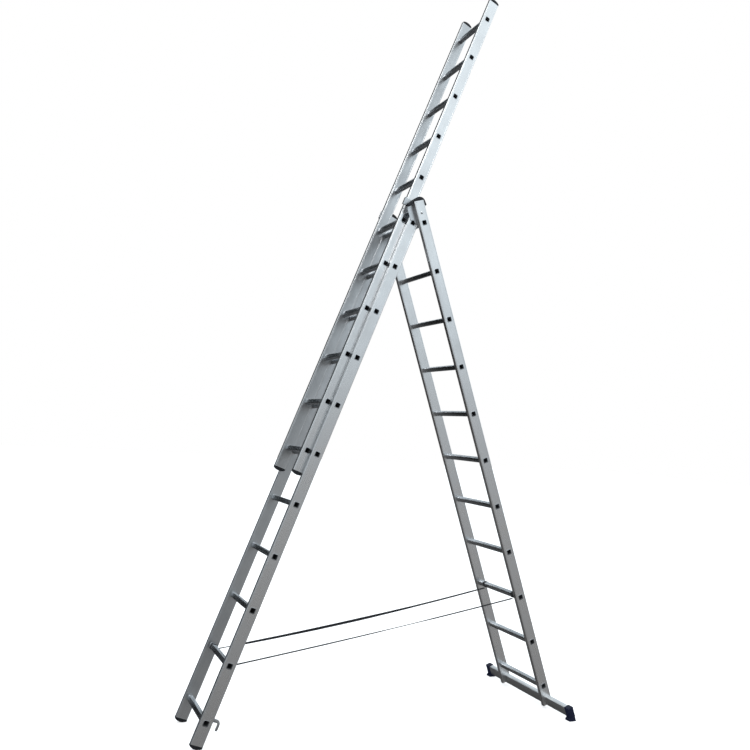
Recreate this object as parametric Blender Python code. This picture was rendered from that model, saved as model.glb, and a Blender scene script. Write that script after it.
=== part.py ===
"""Three-section combination ladder, standing open with its top section raised.

The rear and middle sections make an A-frame about a hinge at the top, and the
top section slides on the front of the middle one.  Every section is modelled in
its own frame: x towards the rear, y across the ladder, z up along the stiles,
with the hinge axis at the origin.
"""
from math import asin, cos, pi, radians, sin

import bmesh
import bpy
from mathutils import Matrix, Vector

# Ladder layout, metres
RUNG_COUNT = 11
RUNG_PITCH = 0.280
MIDDLE_TILT = radians(20.0)
REAR_TILT = radians(20.6)
RAISED_RUNGS = 5
PLANE_STEP = 0.0475         # between the rung planes of two nested sections
PIVOT_BEHIND_MIDDLE = 0.016  # hinge axis behind the middle section's rungs
PIVOT_ABOVE_RUNG = 0.019
REAR_WIDTH = 0.436
MIDDLE_WIDTH = 0.380
TOP_WIDTH = 0.325

# Stiles and rungs
STILE_DEPTH = 0.064
STILE_THICK = 0.024
STILE_WALL = 0.0015
STILE_ABOVE = {"rear": 0.130, "middle": 0.138, "top": 0.130}
STILE_BELOW = {"rear": 0.115, "middle": 0.1135, "top": 0.1245}
RUNG_SIZE = 0.0275
RUNG_CHAMFER = 0.004
RUNG_WALL = 0.0014
GAP = 0.0003

# Plastic caps
SOLE_RADIUS = 0.055
SOLE_SPREAD = asin(STILE_DEPTH / 2 / SOLE_RADIUS)
SOLE_FACET = radians(12.0)
CAP_COLLAR = 0.0025
PLUG_LENGTH = 0.030

# Stabiliser bar under the rear section
BAR_LENGTH = 0.831
BAR_HEIGHT = 0.054
BAR_DEPTH = 0.030
BAR_WALL = 0.0018
BAR_TOP = 2.875             # below the rear section's top rung, along the stile
BAR_FOOT_INNER = 0.376
BAR_FOOT_OUTER = 0.420
BAR_FOOT_WALL = 0.0025
BAR_FOOT_FRONT = 0.025      # sole ahead of and behind the bar's middle
BAR_FOOT_REAR = 0.024

# Hinge
PLATE_INNER = 0.1905
PLATE_OUTER = 0.1935
PIVOT_LOBE = 0.0155
PIN_RADIUS = 0.0060
PIN_HOLE_RADIUS = 0.0061
PIN_SIDES = 32
PIN_END = 0.1665

# Guide brackets and hooks
GUIDE_INNER = 0.1631
GUIDE_OUTER = 0.1656
GUIDE_HEIGHT = 0.043
GUIDE_TOP = 0.1245
GUIDE_BACK = 0.008          # ahead of the middle section's rungs
GUIDE_CLEARANCE = {"near": 0.0080, "far": 0.0013}  # lip to the front of the top stile
GUIDE_LIPS = {"near": (0.0151, 0.0035), "far": (0.0070, 0.0018)}  # reach, thickness
HOOK_LOWER = {"middle": 0.008, "top": 0.0}  # drop of the bent part behind the stile
HOOK_THICK = 0.0045
HOOK_GAP = 0.0005

# Straps
STRAP_WIDTH = 0.020
STRAP_THICK = 0.0016
STRAP_SAG = {"near": 0.008, "far": 0.017}
STRAP_CENTRE = 0.146
STRAP_STANDOFF = 0.0012     # from the faces of the rungs that it is looped round
STRAP_MIDDLE_RUNG = 9
STRAP_MIDDLE_DROP = 0.008   # end of the strap below that rung's centre
STRAP_REAR_RUNG = 8
STRAP_REAR_DROP = 0.019
STRAP_POINTS = 24

# Reach of cutting tools past the faces they cut, and of unions into each other
CUT_MARGIN = 0.010
UNION_OVERLAP = 0.001

TOP_RUNG_Z = -PIVOT_ABOVE_RUNG
LOWEST_RUNG_Z = TOP_RUNG_Z - RUNG_PITCH * (RUNG_COUNT - 1)
REAR_X = PLANE_STEP - PIVOT_BEHIND_MIDDLE
MIDDLE_X = -PIVOT_BEHIND_MIDDLE
TOP_X = MIDDLE_X - PLANE_STEP
RAISE = RAISED_RUNGS * RUNG_PITCH
SOLE_CENTRE_Z = (LOWEST_RUNG_Z - STILE_BELOW["middle"] - CAP_COLLAR
                 + SOLE_RADIUS * cos(SOLE_SPREAD))
PIVOT_Z = (MIDDLE_X * sin(MIDDLE_TILT) - SOLE_CENTRE_Z * cos(MIDDLE_TILT)
           + SOLE_RADIUS * cos(SOLE_FACET / 2))
PIVOT_X = -0.027911         # puts the footprint centre on the origin

SECTIONS = {
    "rear": {"x": REAR_X, "width": REAR_WIDTH, "raise": 0.0, "tilt": -REAR_TILT},
    "middle": {"x": MIDDLE_X, "width": MIDDLE_WIDTH, "raise": 0.0, "tilt": MIDDLE_TILT},
    "top": {"x": TOP_X, "width": TOP_WIDTH, "raise": RAISE, "tilt": MIDDLE_TILT},
}
SIDES = {"near": -1, "far": 1}


def clear_scene():
    for item in list(bpy.data.objects):
        bpy.data.objects.remove(item, do_unlink=True)


def new_collection(name):
    collection = bpy.data.collections.new(name)
    bpy.context.scene.collection.children.link(collection)
    return collection


def make_material(name, colour, roughness, metallic):
    material = bpy.data.materials.new(name)
    material.use_nodes = True
    shader = material.node_tree.nodes["Principled BSDF"]
    shader.inputs["Base Color"].default_value = (*colour, 1.0)
    shader.inputs["Roughness"].default_value = roughness
    shader.inputs["Metallic"].default_value = metallic
    material.diffuse_color = (*colour, 1.0)
    return material


def place(obj, section):
    """Stand a section's piece in the world: its origin is on the hinge axis."""
    obj.location = (PIVOT_X, 0.0, PIVOT_Z)
    obj.rotation_euler = (0.0, SECTIONS[section]["tilt"], 0.0)


def add_part(name, mesh, material, section):
    obj = bpy.data.objects.new(name, mesh)
    PARTS.objects.link(obj)
    mesh.materials.clear()
    mesh.materials.append(MATERIALS[material].copy())
    mesh.materials[0].name = name
    if section:
        place(obj, section)
    return obj


def add_cutter(name, mesh, section):
    obj = bpy.data.objects.new(name, mesh)
    CUTTERS.objects.link(obj)
    obj.hide_render = True
    obj.display_type = "WIRE"
    place(obj, section)
    return obj


def boolean(obj, tool, operation):
    modifier = obj.modifiers.new(tool.name, "BOOLEAN")
    modifier.object = tool
    modifier.operation = operation
    modifier.solver = "EXACT"


def extrude_outlines(outlines, low, high, along):
    """A mesh of flat outlines, filled and extruded from low to high.

    Outlines are (x, y) points for along == "z" and (x, z) points for "y".
    """
    curve = bpy.data.curves.new("outline", "CURVE")
    curve.dimensions = "2D"
    curve.fill_mode = "BOTH"
    curve.extrude = (high - low) / 2
    for outline in outlines:
        spline = curve.splines.new("POLY")
        spline.points.add(len(outline) - 1)
        for point, (across, up) in zip(spline.points, outline):
            point.co = (across, up, 0.0, 1.0)
        spline.use_cyclic_u = True
    holder = bpy.data.objects.new("outline", curve)
    bpy.context.scene.collection.objects.link(holder)
    bpy.context.view_layer.update()
    depsgraph = bpy.context.evaluated_depsgraph_get()
    mesh = bpy.data.meshes.new_from_object(holder.evaluated_get(depsgraph))
    bpy.data.objects.remove(holder, do_unlink=True)
    middle = (low + high) / 2
    if along == "z":
        mesh.transform(Matrix.Translation((0, 0, middle)))
    else:
        mesh.transform(Matrix.Translation((0, middle, 0)) @ Matrix.Rotation(pi / 2, 4, "X"))
    work = bmesh.new()
    work.from_mesh(mesh)
    bmesh.ops.remove_doubles(work, verts=work.verts, dist=0.00001)
    bmesh.ops.recalc_face_normals(work, faces=work.faces)
    work.to_mesh(mesh)
    work.free()
    return mesh


def rectangle(x_mid, y_mid, x_size, y_size):
    x_half, y_half = x_size / 2, y_size / 2
    return [(x_mid - x_half, y_mid - y_half), (x_mid + x_half, y_mid - y_half),
            (x_mid + x_half, y_mid + y_half), (x_mid - x_half, y_mid + y_half)]


def chamfered_square(x_mid, z_mid, size, chamfer):
    half = size / 2
    flat = half - chamfer
    corners = [(half, -flat), (half, flat), (flat, half), (-flat, half),
               (-half, flat), (-half, -flat), (-flat, -half), (flat, -half)]
    return [(x_mid + x, z_mid + z) for x, z in corners]


def arc(x_mid, z_mid, radius, start, stop, steps):
    """Points on an arc; angles turn from straight up towards the rear."""
    angles = [start + (stop - start) * i / steps for i in range(steps + 1)]
    return [(x_mid + radius * sin(a), z_mid + radius * cos(a)) for a in angles]


def rung_heights(section):
    top = TOP_RUNG_Z + SECTIONS[section]["raise"]
    return [top - RUNG_PITCH * i for i in range(RUNG_COUNT)]


def join_meshes(meshes):
    work = bmesh.new()
    for mesh in meshes:
        work.from_mesh(mesh)
    joined = bpy.data.meshes.new("joined")
    work.to_mesh(joined)
    work.free()
    return joined


def rung_hole_cutter(section):
    """Eleven chamfered square bars, one clearance gap larger than the rungs."""
    info = SECTIONS[section]
    reach = info["width"] / 2 + CUT_MARGIN
    bars = []
    for height in rung_heights(section):
        outline = chamfered_square(info["x"], height, RUNG_SIZE + 2 * GAP, RUNG_CHAMFER)
        bars.append(extrude_outlines([outline], -reach, reach, "y"))
    return add_cutter(section + "_rung_holes", join_meshes(bars), section)


def pin_hole_cutter():
    work = bmesh.new()
    bmesh.ops.create_cone(work, cap_ends=True, segments=PIN_SIDES, radius1=PIN_HOLE_RADIUS,
                          radius2=PIN_HOLE_RADIUS, depth=MIDDLE_WIDTH + 2 * CUT_MARGIN,
                          matrix=Matrix.Rotation(pi / 2, 4, "X"))
    mesh = bpy.data.meshes.new("pin_holes")
    work.to_mesh(mesh)
    work.free()
    return add_cutter("middle_pin_holes", mesh, "middle")


def bar_notch_cutter():
    """Room for the stabiliser bar at the rear lower corner of both rear stiles."""
    front = REAR_X - GAP
    top = TOP_RUNG_Z - BAR_TOP + GAP
    outline = rectangle(front + STILE_DEPTH / 2, top - BAR_HEIGHT, STILE_DEPTH, 2 * BAR_HEIGHT)
    reach = REAR_WIDTH / 2 + CUT_MARGIN
    return add_cutter("rear_bar_notch", extrude_outlines([outline], -reach, reach, "y"), "rear")


def build_stiles(section, cutters):
    info = SECTIONS[section]
    heights = rung_heights(section)
    low, high = heights[-1] - STILE_BELOW[section], heights[0] + STILE_ABOVE[section]
    for side, sign in SIDES.items():
        y_mid = sign * (info["width"] - STILE_THICK) / 2
        outer = rectangle(info["x"], y_mid, STILE_DEPTH, STILE_THICK)
        inner = rectangle(info["x"], y_mid, STILE_DEPTH - 2 * STILE_WALL,
                          STILE_THICK - 2 * STILE_WALL)
        mesh = extrude_outlines([outer, inner], low, high, "z")
        stile = add_part(f"{section}_stile_{side}", mesh, "stile aluminium", section)
        for cutter in cutters:
            boolean(stile, cutter, "DIFFERENCE")


def build_rungs(section):
    info = SECTIONS[section]
    reach = info["width"] / 2
    bore = RUNG_SIZE - 2 * RUNG_WALL
    for number, height in enumerate(reversed(rung_heights(section)), start=1):
        outer = chamfered_square(info["x"], height, RUNG_SIZE, RUNG_CHAMFER)
        inner = chamfered_square(info["x"], height, bore, RUNG_CHAMFER - RUNG_WALL / 2)
        mesh = extrude_outlines([outer, inner], -reach, reach, "y")
        add_part(f"{section}_rung_{number:02d}", mesh, "rung aluminium", section)


def build_cap(name, section, side, edge_z, down):
    """A cap with a curved face and a plug that sits inside the stile."""
    info = SECTIONS[section]
    y_mid = side * (info["width"] - STILE_THICK) / 2
    half = STILE_DEPTH / 2
    spread = SOLE_SPREAD
    direction = -1 if down else 1
    centre_z = edge_z + direction * (CAP_COLLAR - SOLE_RADIUS * cos(spread))
    if down:
        # one facet lies flat on the ground when the ladder stands open
        lean = MIDDLE_TILT
        facet = SOLE_FACET / 2
        angles = [-spread, -spread * 0.6, -spread * 0.2, lean - facet, lean + facet, spread]
    else:
        angles = [spread * k / 3 for k in range(-3, 4)]
    curve = [(info["x"] + SOLE_RADIUS * sin(a), centre_z + direction * SOLE_RADIUS * cos(a))
             for a in angles]
    start = edge_z + direction * GAP
    outline = [(info["x"] - half, start)] + curve + [(info["x"] + half, start)]
    mesh = extrude_outlines([outline], y_mid - STILE_THICK / 2, y_mid + STILE_THICK / 2, "y")
    cap = add_part(name, mesh, "black plastic", section)
    clearance = STILE_WALL + GAP
    plug = rectangle(info["x"], y_mid, STILE_DEPTH - 2 * clearance, STILE_THICK - 2 * clearance)
    ends = sorted((edge_z - direction * PLUG_LENGTH, start + direction * UNION_OVERLAP))
    tool = add_cutter(name + "_plug", extrude_outlines([plug], *ends, "z"), section)
    boolean(cap, tool, "UNION")


def build_end_caps():
    for section in ("middle", "top"):
        heights = rung_heights(section)
        for side, sign in SIDES.items():
            build_cap(f"{section}_top_cap_{side}", section, sign,
                      heights[0] + STILE_ABOVE[section], down=False)
            build_cap(f"{section}_foot_cap_{side}", section, sign,
                      heights[-1] - STILE_BELOW[section], down=True)


def in_section(section, forward, below):
    """Section (x, z) of a place ahead of the rung plane and below the top rung."""
    info = SECTIONS[section]
    return info["x"] - forward, TOP_RUNG_Z + info["raise"] - below


def build_rear_caps():
    """Curved caps with a lip down the rear edge and a wing towards the middle section."""
    edge = STILE_DEPTH / 2 + GAP
    base = -STILE_ABOVE["rear"] - GAP
    wing_top = {"near": [(0.073, -0.1205), (0.057, -0.128)], "far": []}
    wing_under = {"near": [(0.040, -0.118), (0.057, -0.108), (0.070, -0.111)],
                  "far": [(0.040, -0.1285)]}
    dome = [(0.041, -0.1345), (0.026, -0.1405), (0.010, -0.145), (-0.002, -0.147),
            (-0.013, -0.1465), (-0.024, -0.1425), (-0.034, -0.135), (-0.0395, -0.122),
            (-0.042, -0.108), (-0.043, -0.094)]
    under = [(-0.0365, -0.094), (-edge, -0.108), (-edge, base), (edge, base)]
    for side, sign in SIDES.items():
        places = wing_top[side] + dome + under + wing_under[side]
        outline = [in_section("rear", forward, below) for forward, below in places]
        ends = sorted((sign * (REAR_WIDTH / 2 - STILE_THICK), sign * REAR_WIDTH / 2))
        mesh = extrude_outlines([outline], *ends, "y")
        add_part(f"rear_top_cap_{side}", mesh, "black plastic", "rear")


def build_hinge_plates():
    """Steel plates in the gap between the rear and middle stiles, with their pins."""
    head = [(-0.006, -0.024), (-0.006, -0.123), (0.022, -0.124), (0.046, -0.117),
            (0.060, -0.110), (0.069, -0.102), (0.069, -0.032)]
    start, stop = radians(-65), radians(-250)
    lobe = arc(0.0, 0.0, PIVOT_LOBE, start, stop, 10)
    outline = [in_section("rear", forward, below) for forward, below in head] + lobe
    for side, sign in SIDES.items():
        ends = sorted((sign * PLATE_INNER, sign * PLATE_OUTER))
        plate = add_part(f"rear_hinge_plate_{side}", extrude_outlines([outline], *ends, "y"),
                         "zinc steel", "rear")
        work = bmesh.new()
        length = PLATE_OUTER - UNION_OVERLAP - PIN_END
        middle = sign * (PIN_END + length / 2)
        bmesh.ops.create_cone(work, cap_ends=True, segments=PIN_SIDES, radius1=PIN_RADIUS,
                              radius2=PIN_RADIUS, depth=length,
                              matrix=Matrix.Translation((0, middle, 0))
                              @ Matrix.Rotation(pi / 2, 4, "X"))
        pin = bpy.data.meshes.new("pin")
        work.to_mesh(pin)
        work.free()
        boolean(plate, add_cutter(f"rear_hinge_pin_{side}", pin, "rear"), "UNION")


def build_stabiliser():
    x_mid = REAR_X + BAR_DEPTH / 2
    z_mid = TOP_RUNG_Z - BAR_TOP - BAR_HEIGHT / 2
    outer = rectangle(x_mid, z_mid, BAR_DEPTH, BAR_HEIGHT)
    inner = rectangle(x_mid, z_mid, BAR_DEPTH - 2 * BAR_WALL, BAR_HEIGHT - 2 * BAR_WALL)
    mesh = extrude_outlines([outer, inner], -BAR_LENGTH / 2, BAR_LENGTH / 2, "y")
    add_part("stabiliser_bar", mesh, "stile aluminium", "rear")

    # socket in section coordinates, sole level on the ground of the open ladder
    tilt = REAR_TILT
    x_front = x_mid - BAR_DEPTH / 2 - BAR_FOOT_WALL
    x_rear = x_mid + BAR_DEPTH / 2 + BAR_FOOT_WALL
    z_top = z_mid + BAR_HEIGHT / 2 + BAR_FOOT_WALL
    z_low = z_mid - BAR_HEIGHT / 2
    sole_mid = x_mid * cos(tilt) - z_low * sin(tilt)
    sole = []
    for offset in (BAR_FOOT_REAR, -BAR_FOOT_FRONT):
        across, up = sole_mid + offset, -PIVOT_Z
        sole.append((across * cos(tilt) + up * sin(tilt), -across * sin(tilt) + up * cos(tilt)))
    outline = [(x_front, z_low), (x_front, z_top), (x_rear, z_top), (x_rear, z_low)] + sole
    hole = rectangle(x_mid, z_mid, BAR_DEPTH + 2 * GAP, BAR_HEIGHT + 2 * GAP)
    for side, sign in SIDES.items():
        ends = sorted((sign * BAR_FOOT_INNER, sign * BAR_FOOT_OUTER))
        foot = add_part(f"stabiliser_foot_{side}", extrude_outlines([outline], *ends, "y"),
                        "navy plastic", "rear")
        ends = sorted((sign * (BAR_FOOT_INNER - CUT_MARGIN), sign * (BAR_LENGTH / 2 + GAP)))
        socket = extrude_outlines([hole], *ends, "y")
        boolean(foot, add_cutter(f"stabiliser_socket_{side}", socket, "rear"), "DIFFERENCE")


def build_guides():
    """L-shaped brackets on the middle stiles that hold the top section's stiles."""
    back = MIDDLE_X - GUIDE_BACK
    high = TOP_RUNG_Z + GUIDE_TOP
    for side, sign in SIDES.items():
        lip = TOP_X - STILE_DEPTH / 2 - GUIDE_CLEARANCE[side]
        reach, thickness = GUIDE_LIPS[side]
        front = lip - thickness
        outline = [(back, GUIDE_OUTER), (front, GUIDE_OUTER), (front, GUIDE_OUTER - reach),
                   (lip, GUIDE_OUTER - reach), (lip, GUIDE_INNER), (back, GUIDE_INNER)]
        outline = [(x, sign * y) for x, y in outline]
        mesh = extrude_outlines([outline], high - GUIDE_HEIGHT, high, "z")
        add_part(f"middle_guide_{side}", mesh, "zinc steel", "middle")


def build_hook(name, section):
    """A J-shaped steel hook on the near stile that drops over a rung behind it."""
    info = SECTIONS[section]
    lower = HOOK_LOWER[section]
    back = [(-0.034, 2.765), (-0.062, 2.768), (-0.073, 2.776), (-0.078, 2.788)]
    tip = [(-0.078, 2.822), (-0.074, 2.829), (-0.068, 2.829), (-0.0655, 2.824)]
    throat = [(-0.0655, 2.792), (-0.062, 2.7845), (-0.034, 2.784)]
    places = [(0.011, 2.765), (-0.018, 2.765)]
    places += [(forward, below + lower) for forward, below in back] + tip
    places += [(forward, below + lower) for forward, below in throat]
    places += [(-0.018, 2.784), (0.011, 2.784)]
    outline = [in_section(section, forward, below) for forward, below in places]
    inner_face = info["width"] / 2 - STILE_THICK - HOOK_GAP
    mesh = extrude_outlines([outline], -inner_face, -inner_face + HOOK_THICK, "y")
    add_part(name, mesh, "zinc steel", section)


def to_world(section, x, z):
    tilt = SECTIONS[section]["tilt"]
    return Vector((PIVOT_X + x * cos(tilt) + z * sin(tilt), 0.0,
                   PIVOT_Z - x * sin(tilt) + z * cos(tilt)))


def build_straps():
    """Webbing straps that stop the two legs from spreading, as thin closed bands."""
    reach = RUNG_SIZE / 2 + STRAP_STANDOFF
    start_z = TOP_RUNG_Z - RUNG_PITCH * STRAP_MIDDLE_RUNG - STRAP_MIDDLE_DROP
    stop_z = TOP_RUNG_Z - RUNG_PITCH * STRAP_REAR_RUNG - STRAP_REAR_DROP
    start = to_world("middle", MIDDLE_X + reach, start_z)
    stop = to_world("rear", REAR_X - reach, stop_z)
    half = STRAP_THICK / 2
    for side, sign in SIDES.items():
        parts = [i / STRAP_POINTS for i in range(STRAP_POINTS + 1)]
        line = [start.lerp(stop, part) for part in parts]
        for part, point in zip(parts, line):
            point.z -= 4 * STRAP_SAG[side] * part * (1 - part)
        upper = [(p.x, p.z + half) for p in line]
        lower = [(p.x, p.z - half) for p in reversed(line)]
        ends = sorted((sign * (STRAP_CENTRE - STRAP_WIDTH / 2),
                       sign * (STRAP_CENTRE + STRAP_WIDTH / 2)))
        mesh = extrude_outlines([upper + lower], *ends, "y")
        add_part(f"spread_strap_{side}", mesh, "black webbing", None)


clear_scene()
PARTS = new_collection("combination_ladder")
CUTTERS = new_collection("cutters")
MATERIALS = {
    "stile aluminium": make_material("stile aluminium", (0.62, 0.64, 0.66), 0.38, 1.0),
    "rung aluminium": make_material("rung aluminium", (0.56, 0.57, 0.59), 0.45, 1.0),
    "zinc steel": make_material("zinc steel", (0.50, 0.52, 0.54), 0.40, 1.0),
    "black plastic": make_material("black plastic", (0.018, 0.021, 0.030), 0.48, 0.0),
    "navy plastic": make_material("navy plastic", (0.016, 0.022, 0.048), 0.45, 0.0),
    "black webbing": make_material("black webbing", (0.022, 0.022, 0.024), 0.85, 0.0),
}

build_stiles("rear", [rung_hole_cutter("rear"), bar_notch_cutter()])
build_stiles("middle", [rung_hole_cutter("middle"), pin_hole_cutter()])
build_stiles("top", [rung_hole_cutter("top")])
for section_name in SECTIONS:
    build_rungs(section_name)
build_end_caps()
build_rear_caps()
build_hinge_plates()
build_stabiliser()
build_guides()
build_hook("middle_hook", "middle")
build_hook("top_hook", "top")
build_straps()
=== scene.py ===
"""A three-section combination ladder standing open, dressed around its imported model.

Every section is modelled in its own frame: x towards the rear, y across the
ladder, z up along the stiles, with the centre of the section's top rung as origin.
"""

from math import acos, asin, cos, pi, radians, sin, tau

import bmesh
import bpy
from mathutils import Matrix, Vector


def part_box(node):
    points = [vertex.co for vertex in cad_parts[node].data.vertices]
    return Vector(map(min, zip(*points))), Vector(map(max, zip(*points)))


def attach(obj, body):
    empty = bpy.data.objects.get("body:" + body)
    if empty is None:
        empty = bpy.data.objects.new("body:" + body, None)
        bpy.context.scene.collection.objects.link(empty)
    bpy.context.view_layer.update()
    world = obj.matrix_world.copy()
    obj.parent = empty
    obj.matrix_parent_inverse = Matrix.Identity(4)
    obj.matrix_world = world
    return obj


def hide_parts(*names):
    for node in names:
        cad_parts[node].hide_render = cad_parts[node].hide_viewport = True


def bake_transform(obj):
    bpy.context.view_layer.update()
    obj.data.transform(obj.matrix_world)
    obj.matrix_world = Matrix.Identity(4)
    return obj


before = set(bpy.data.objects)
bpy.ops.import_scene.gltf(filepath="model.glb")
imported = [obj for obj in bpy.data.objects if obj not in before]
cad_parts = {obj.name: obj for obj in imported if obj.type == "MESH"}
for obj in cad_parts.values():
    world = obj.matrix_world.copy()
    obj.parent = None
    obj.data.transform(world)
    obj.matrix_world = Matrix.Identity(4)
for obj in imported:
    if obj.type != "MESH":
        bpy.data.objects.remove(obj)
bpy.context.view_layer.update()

# Camera, metres and degrees
CAMERA_PLACE = (-1.9865, -3.8935, 1.5833)
CAMERA_TURN = (94.142, -3.637, -25.697)
CAMERA_LENS = 36.35
CAMERA_SENSOR = 36.0
CAMERA_CLIP = (0.05, 100.0)

# Sections
SECTIONS = ("rear", "middle", "top")
BODY = {name: name + "_section" for name in SECTIONS}
SIDES = {"near": -1, "far": 1}
RUNG_COUNT = 11

# Stiles
STILE_DEPTH = 0.064
STILE_THICK = 0.024
STILE_WALL = 0.0015
STILE_ROUND = 0.0028
STILE_ABOVE = {"rear": 0.130, "middle": 0.138, "top": 0.130}
STILE_BELOW = {"rear": 0.115, "middle": 0.1135, "top": 0.1245}
GROOVE_PLACE = 0.0255
GROOVE_HALF = 0.0010
GROOVE_DEEP = 0.0004

# Rungs
RUNG_HALF = 0.01375
RUNG_ROUND = 0.005
RUNG_WALL = 0.0014
RUNG_CLEARANCE = 0.0002
TREAD_GROOVES = 5
TREAD_PITCH = 0.0034
TREAD_DEEP = 0.0005
RIM_PROUD = {"rear": 0.0012, "middle": 0.0010, "top": 0.0004}
RIM_AT_HINGE = 0.0003
# swage inside a stile: depth from its inner face, growth, share of the tread grooves
SWAGE = [(-0.0045, 0.0, 1.0), (-0.0032, 0.0005, 0.8), (-0.0020, 0.0013, 0.4),
         (-0.0008, 0.0013, 0.4), (-0.0001, 0.0006, 0.6), (0.0001, 0.0, 1.0)]
TREAD_STEPS = ((0.0009, 0.0), (0.0005, 1.0), (-0.0005, 1.0), (-0.0009, 0.0))
BORE_STEP = 0.001

# Caps
CAP_RADIUS = 0.055
FACE_RADIUS = 0.0547
CAP_COLLAR = 0.0025
CAP_GAP = 0.0003
CAP_PROUD = 0.0004
RIB_DEEP = 0.0009
CAP_ROUNDING = {"end": 0.0022, "rear": 0.0016}
SKIRT_SEAT = 0.00008
SKIRT_LIP = 0.0002
SKIRT_PROUD = 0.00035
SKIRT_DROP = {"rear": 0.0045, "middle": 0.0065, "top": 0.0065}
REAR_CAP_WING_TOP = {"near": [(0.073, -0.1205), (0.057, -0.128)], "far": []}
REAR_CAP_WING_UNDER = {"near": [(0.040, -0.118), (0.057, -0.108), (0.070, -0.111)],
                       "far": [(0.040, -0.1285)]}
REAR_CAP_LIP = [(-0.0365, -0.094)]
REAR_CAP_DOME = [(0.041, -0.1345), (0.026, -0.1405), (0.010, -0.145), (-0.002, -0.147),
                 (-0.013, -0.1465), (-0.024, -0.1425), (-0.034, -0.135), (-0.0395, -0.122),
                 (-0.042, -0.108), (-0.043, -0.094)]

# Hinge, guides, latch plates and hooks: (ahead of the rungs, below the top rung)
PLANE_STEP = 0.0475
PIVOT_UP = 0.019
PIVOT_REAR = 0.016
PIVOT_AHEAD_OF_REAR = PLANE_STEP - PIVOT_REAR
PIN_HOLE = 0.0063
PIN_HEAD = [(0.0105, 0.0), (0.0105, 0.0009), (0.0100, 0.0012), (0.0085, 0.0012), (0.0080, 0.0014),
            (0.0078, 0.0026), (0.0064, 0.0031), (0.0004, 0.0033)]
HINGE_BOLT_UP = 0.057
HINGE_BOLT_HEAD = (0.0075, 0.0058)
HINGE_RIVET = (-0.016, 0.119)
HINGE_RIVET_HEAD = (0.0027, 0.0016)
GUIDE_INNER = 0.1631
GUIDE_RIVETS = [(-0.0125, 0.094), (-0.0125, 0.112)]
GUIDE_RIVET_HEAD = (0.0030, 0.0006)
LATCH_SPAN = (0.1632, 0.1648)
LATCH_OUTLINE = [(0.018, -0.030), (0.018, 0.004), (0.026, 0.016), (0.047, 0.019), (0.061, 0.012),
                 (0.061, -0.020), (0.053, -0.036), (0.045, -0.047), (0.036, -0.047)]
LATCH_WINDOW = ((-PLANE_STEP - 0.0145, -PLANE_STEP + 0.0125), (-0.0145, 0.0145))
LATCH_ROUNDING = 0.0003
# black pads at the seam of the middle and top stiles, one at each shared rung level: painted
# shadow of the rung flare
PAD_COUNT = 6
PAD_SIZE = (0.0040, 0.016, 0.0014)
PAD_FORWARD = 0.0320
PAD_INNER = 0.1645
PAD_GAP = 0.00005
PAD_ROUNDING = 0.0005
HOOK_THICK = 0.0045
HOOK_HEEL = 0.011
HOOK_BEND = -0.018
HOOK_TOP = 2.765
HOOK_UNDER = 2.784
HOOK_RIVETS = [(-0.004, -2.7745), (0.020, -2.7745)]
HOOK_RIVET_HEAD = (0.0042, 0.0018)
HOOK_ROUNDING = 0.0008
HOOK_GAP = 0.0005
HOOK_LOWER = {"middle": 0.008, "top": 0.0}
HOOK_BACK = [(-0.034, 2.765), (-0.062, 2.768), (-0.073, 2.776), (-0.078, 2.788)]
HOOK_TIP = [(-0.078, 2.822), (-0.074, 2.829)]
HOOK_POINT = [(-0.068, 2.829), (-0.0655, 2.824)]
HOOK_THROAT = [(-0.0655, 2.792), (-0.062, 2.7845), (-0.034, 2.784)]

# Stabiliser
BAR_HALF_LENGTH = 0.4155
BAR_DEPTH = 0.030
BAR_HEIGHT = 0.054
BAR_WALL = 0.0018
BAR_TOP = 2.875
BAR_NOTCH = 0.2
BAR_ROUND = 0.003
BAR_BORE_ROUND = 0.0012
BAR_BOLT_DROPS = (0.014, 0.040)
BAR_BOLT_HEAD = (0.0065, 0.0042)
BAR_BOLT_SIDES = 24
FOOT_INNER = 0.376
FOOT_OUTER = 0.420
FOOT_WALL = 0.0025
FOOT_ROUND = {"base": 0.006, "collar": 0.004}
# sole to waist: height, reach ahead and behind, set-in at the inner and outer ends
FOOT_BASE = [(0.0, 0.0235, 0.0225, 0.0015, 0.0015), (0.0006, 0.0248, 0.0238, 0.0002, 0.0002),
             (0.0026, 0.0250, 0.0240, 0.0, 0.0), (0.0030, 0.0242, 0.0232, 0.0010, 0.0010),
             (0.0040, 0.0242, 0.0232, 0.0010, 0.0010), (0.0044, 0.0249, 0.0238, 0.0002, 0.0002),
             (0.0062, 0.0246, 0.0234, 0.0004, 0.0003), (0.0066, 0.0238, 0.0226, 0.0012, 0.0012),
             (0.0100, 0.0234, 0.0218, 0.0020, 0.0020)]
# waist to top, square to the rear stiles: height over the bar's underside, growth, set-ins
FOOT_COLLAR = [(0.0000, 0.0, 0.0022, 0.0022), (0.0020, 0.0, 0.0022, 0.0022),
               (0.0026, 0.0008, 0.0012, 0.0012), (0.0056, 0.0008, 0.0012, 0.0012),
               (0.0062, 0.0, 0.0022, 0.0022), (0.0480, 0.0, 0.0022, 0.0022),
               (0.0486, 0.0006, 0.0012, 0.0012), (0.0550, 0.0006, 0.0012, 0.0012),
               (0.0564, -0.0006, 0.0026, 0.0026)]

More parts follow.
